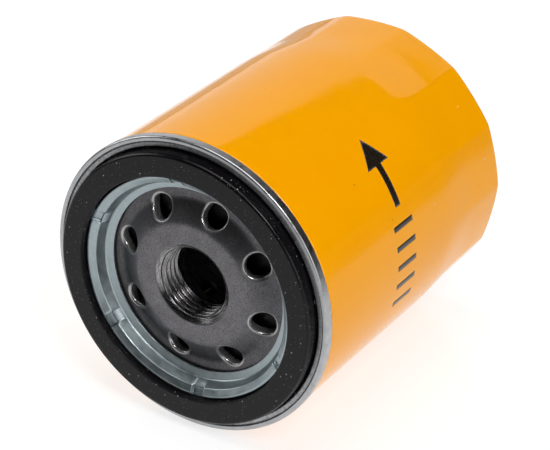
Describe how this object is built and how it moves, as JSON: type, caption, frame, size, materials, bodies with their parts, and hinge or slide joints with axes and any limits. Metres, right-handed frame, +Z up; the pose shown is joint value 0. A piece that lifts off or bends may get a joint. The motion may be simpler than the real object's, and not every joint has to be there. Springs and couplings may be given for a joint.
{
  "type": "oil filter",
  "caption": "Spin-on engine oil filter: painted steel can with wrench flats, gasket, drilled base plate with a threaded neck, and the element and valves inside.",
  "frame": {"origin": "middle of the footprint, at the lowest point of the seam rim that the filter lies on", "axes": "+Z up, the filter's axis along Y, the open threaded end with the gasket facing -Y, the closed end facing +Y"},
  "size_m": [0.0766, 0.09, 0.0766],
  "materials": {
    "can_paint": "glossy orange-yellow enamel",
    "zinc_plate": "bright zinc plate, cool grey",
    "phosphated_steel": "dark grey satin phosphate",
    "gasket_rubber": "matte black",
    "valve_rubber": "matte black",
    "bright_steel": "bare tinned steel",
    "spring_steel": "dark spring wire",
    "filter_paper": "resin-treated pleated paper",
    "potting": "cured adhesive"
  },
  "bodies": {
    "housing": {"can": "can_paint", "cover": "zinc_plate", "gasket": "gasket_rubber", "base_plate": "phosphated_steel", "antidrain_hub": "valve_rubber", "support_spring": "spring_steel"},
    "element": {"upper_end_cap": "bright_steel", "lower_end_cap": "bright_steel", "upper_adhesive": "potting", "lower_adhesive": "potting", "center_tube": "bright_steel", "pleated_media": "filter_paper", "pleat_clip": "bright_steel", "bypass_seat": "bright_steel", "bypass_cage": "bright_steel", "bypass_spring": "spring_steel"},
    "flap": {"antidrain_lip": "valve_rubber"},
    "poppet": {"bypass_poppet": "bright_steel", "bypass_seal": "valve_rubber"}
  },
  "joints": [
    {"name": "antidrain_flap", "type": "slide", "parent": "housing", "child": "flap", "axis": [0, 1, 0], "range_m": [0, 0.0015], "stiffness_N_per_m": 60, "springref_m": -0.0005},
    {"name": "element_float", "type": "slide", "parent": "housing", "child": "element", "axis": [0, 1, 0], "range_m": [0, 0.0015], "stiffness_N_per_m": 4000, "springref_m": -0.005, "deforming": ["support_spring"]},
    {"name": "bypass_open", "type": "slide", "parent": "element", "child": "poppet", "axis": [0, -1, 0], "range_m": [0, 0.003], "stiffness_N_per_m": 2500, "springref_m": -0.004, "deforming": ["bypass_spring"]}
  ]
}
